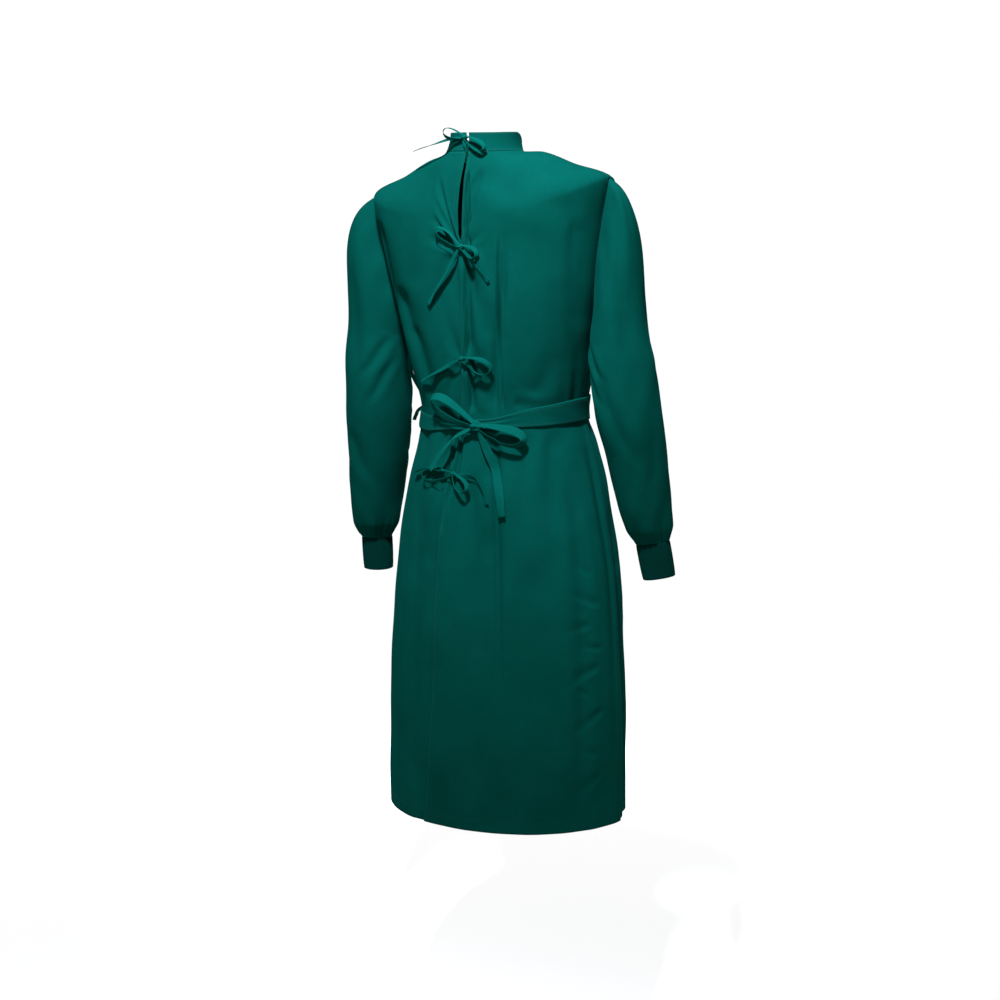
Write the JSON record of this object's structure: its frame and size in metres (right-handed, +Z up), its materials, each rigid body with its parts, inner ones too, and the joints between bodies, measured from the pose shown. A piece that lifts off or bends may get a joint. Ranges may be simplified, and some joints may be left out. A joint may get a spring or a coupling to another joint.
{
  "type": "surgical gown",
  "caption": "long-sleeved surgical gown in its worn, filled-out shape, open down the back, with stand collar, gathered sleeves, rib cuffs, a tied belt and tape ties",
  "frame": {"origin": "middle of the neck base, where the gown hangs from the wearer", "axes": "+Z up, the front faces -Y, the wearer's right side is -X"},
  "size_m": [0.6793, 0.3045, 1.2414],
  "materials": {
    "green_cotton": "closely woven green cotton twill with a slight sheen",
    "rib_knit": "dark green rib knit"
  },
  "bodies": {
    "root": {"front": "green_cotton", "back_right": "green_cotton", "back_left": "green_cotton", "sleeve_right": "green_cotton", "sleeve_left": "green_cotton", "collar": "green_cotton", "belt": "green_cotton", "belt_bow": "green_cotton", "tie_neck": "green_cotton", "tie_second": "green_cotton", "tie_third": "green_cotton", "tie_fourth": "green_cotton", "tie_side": "green_cotton", "cuff_right": "rib_knit", "cuff_left": "rib_knit"}
  },
  "joints": []
}
